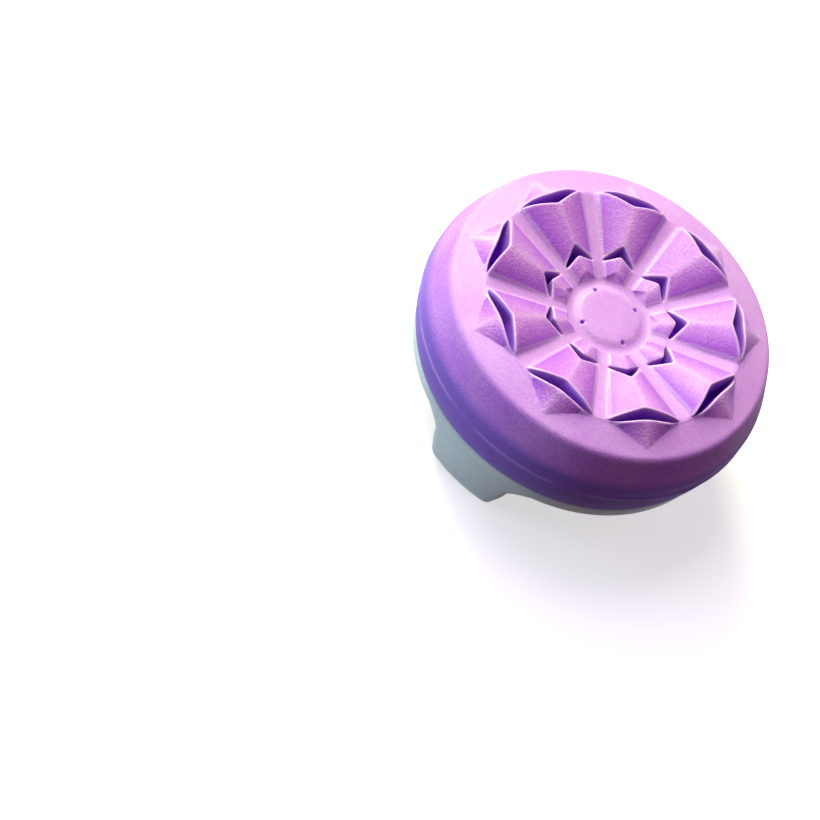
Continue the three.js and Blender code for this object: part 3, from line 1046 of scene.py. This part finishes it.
class GRIP_OT_stage(bpy.types.Operator):
    """Makes the camera, the lamps, the even light and the pale floor"""

    bl_idname = "grip.stage"
    bl_label = "Camera, lamps and floor"

    def execute(self, context):
        studio = sizes("grip_studio")
        self.camera(context, studio)
        add_lamp("Key lamp", direction(150.0, 33.0), 0.2, studio.key_power, (0.85, 1.0, 0.59))
        add_lamp("Top lamp", direction(168.0, 60.0), 0.25, studio.top_power, (1.0, 0.9, 1.0))
        add_lamp("Fill lamp", direction(212.0, 6.0), 0.2, studio.fill_power, (0.55, 0.78, 1.0))
        self.sky(context, studio)
        self.floor()
        context.scene.view_settings.view_transform = "Standard"
        return {"FINISHED"}

    def camera(self, context, studio):
        """The camera looks at the tread's middle, then turns until it shows at its pixel."""
        target = Vector((0.0, 0.0, sizes("grip_cap").rim_height))
        away = direction(math.degrees(studio.turn), math.degrees(studio.climb))
        deselect()
        bpy.ops.object.camera_add(location=target + away * studio.distance)
        camera = bpy.context.object
        upright = away.to_track_quat("Z", "Y").to_matrix()
        rolled = upright @ Matrix.Rotation(-studio.roll, 3, "Z")
        half = PHOTO_SIDE / 2.0
        pixels = studio.lens / SENSOR * PHOTO_SIDE
        sight = Vector((studio.place[0] - half, half - studio.place[1], -pixels)).normalized()
        aim = Vector((0.0, 0.0, -1.0)).rotation_difference(sight).to_matrix()
        camera.rotation_euler = (rolled @ aim.transposed()).to_euler()
        camera.data.lens = studio.lens
        camera.data.sensor_width = SENSOR
        camera.data.clip_start = 0.01
        camera.data.clip_end = 50.0
        context.scene.camera = camera

    def sky(self, context, studio):
        """Even light, weaker near the horizon, and white where the camera looks past the floor."""
        world = bpy.data.worlds.new("Studio")
        world.use_nodes = True
        tree = world.node_tree
        background = tree.nodes["Background"]
        background.inputs["Color"].default_value = (1.0, 0.6, 0.95, 1.0)
        way = add_node(tree, "ShaderNodeTexCoord").outputs["Generated"]
        axes = add_node(tree, "ShaderNodeSeparateXYZ")
        tree.links.new(way, axes.inputs[0])
        high = add_node(tree, "ShaderNodeMapRange")
        for name, value in (("From Max", 0.7), ("To Min", 0.2), ("To Max", 1.0)):
            high.inputs[name].default_value = value
        tree.links.new(axes.outputs["Z"], high.inputs["Value"])
        strength = combine(tree, "MULTIPLY", high.outputs["Result"], studio.sky)
        tree.links.new(strength, background.inputs["Strength"])
        white = add_node(tree, "ShaderNodeBackground", Color=(1.0, 1.0, 1.0, 1.0), Strength=1.0)
        pick = add_node(tree, "ShaderNodeMixShader")
        tree.links.new(seen_by_camera(tree), pick.inputs[0])
        tree.links.new(background.outputs[0], pick.inputs[1])
        tree.links.new(white.outputs[0], pick.inputs[2])
        tree.links.new(pick.outputs[0], tree.nodes["World Output"].inputs["Surface"])
        context.scene.world = world

    def floor(self):
        """A wide round floor, inset once into a middle and an outer ring."""
        deselect()
        bpy.ops.mesh.primitive_circle_add(vertices=96, radius=1.2, fill_type="NGON")
        floor = added("floor")
        bpy.ops.object.mode_set(mode="EDIT")
        bpy.ops.mesh.select_all(action="SELECT")
        bpy.ops.mesh.inset(thickness=0.4)
        bpy.ops.object.mode_set(mode="OBJECT")
        floor.data.materials.append(floor_finish())


class GRIP_PT_panel(bpy.types.Panel):
    """Lists the pieces and their sizes in the sidebar"""

    bl_idname = "GRIP_PT_panel"
    bl_label = "Thumb grip"
    bl_space_type = "VIEW_3D"
    bl_region_type = "UI"
    bl_category = "Thumb grip"

    def draw(self, context):
        for operator in (GRIP_OT_stage, GRIP_OT_base, GRIP_OT_cap):
            self.layout.operator(operator.bl_idname)
        for name in GROUPS:
            group = sizes(name)
            box = self.layout.box()
            box.label(text=group.bl_rna.name)
            for key in group.bl_rna.properties.keys():
                if key not in ("rna_type", "name"):
                    box.prop(group, key)


GROUPS = {
    "grip_cap": CapSizes,
    "grip_base": BaseSizes,
    "grip_finishes": Finishes,
    "grip_studio": Studio,
}
CLASSES = (*GROUPS.values(), GRIP_OT_cap, GRIP_OT_base, GRIP_OT_stage, GRIP_PT_panel)


def register():
    """Registers the classes and puts the property groups on the scene."""
    for cls in CLASSES:
        bpy.utils.register_class(cls)
    for name, group in GROUPS.items():
        setattr(bpy.types.Scene, name, PointerProperty(type=group))


def unregister():
    """Takes the property groups off the scene and unregisters the classes."""
    for name in GROUPS:
        delattr(bpy.types.Scene, name)
    for cls in reversed(CLASSES):
        bpy.utils.unregister_class(cls)


def main():
    """Registers the add-on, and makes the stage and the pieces."""
    register()
    bpy.ops.grip.stage()
    bpy.ops.grip.base()
    bpy.ops.grip.cap()


if __name__ == "__main__":
    main()
